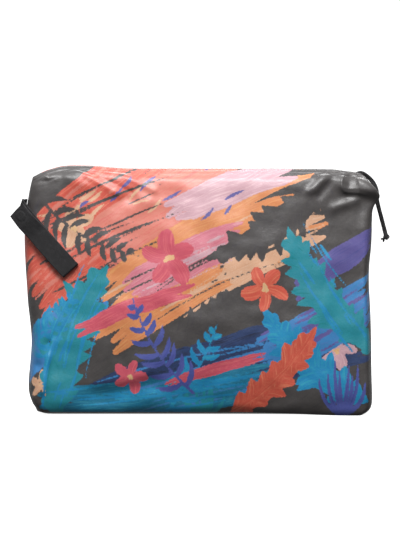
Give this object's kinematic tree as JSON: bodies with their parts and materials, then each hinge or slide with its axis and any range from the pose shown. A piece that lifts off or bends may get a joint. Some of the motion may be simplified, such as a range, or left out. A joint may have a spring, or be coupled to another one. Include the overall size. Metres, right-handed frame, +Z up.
{
  "type": "zippered wet bag",
  "caption": "Soft coated-cloth zip pouch with a boxed base that stands up, a snap strap at one side seam and a knotted cord pull.",
  "frame": {"origin": "middle of the flat base that the bag stands on", "axes": "+X to the bag's right as seen from the front, towards the zip slider; -Y out of the printed front; +Z up"},
  "size_m": [0.3645, 0.0985, 0.237],
  "materials": {
    "cloth": "coated, semi-gloss, printed in coral, orange, pink, purple, blue and teal",
    "zip_tape": "matt woven tape",
    "zip_teeth": "satin coil",
    "slider": "black enamel, satin",
    "cord": "braided, matt",
    "webbing": "ribbed weave, matt",
    "snap": "smooth"
  },
  "bodies": {
    "root": {"bag_body": "cloth", "base_panel": "cloth", "zip_tape_front": "zip_tape", "zip_tape_back": "zip_tape", "zip_coil": "zip_teeth", "zip_slider": "slider", "pull_loop": "cord", "pull_cord": "cord", "pull_knot": "cord", "snap_strap": "webbing", "snap_socket": "snap", "snap_stud": "snap"}
  },
  "joints": []
}
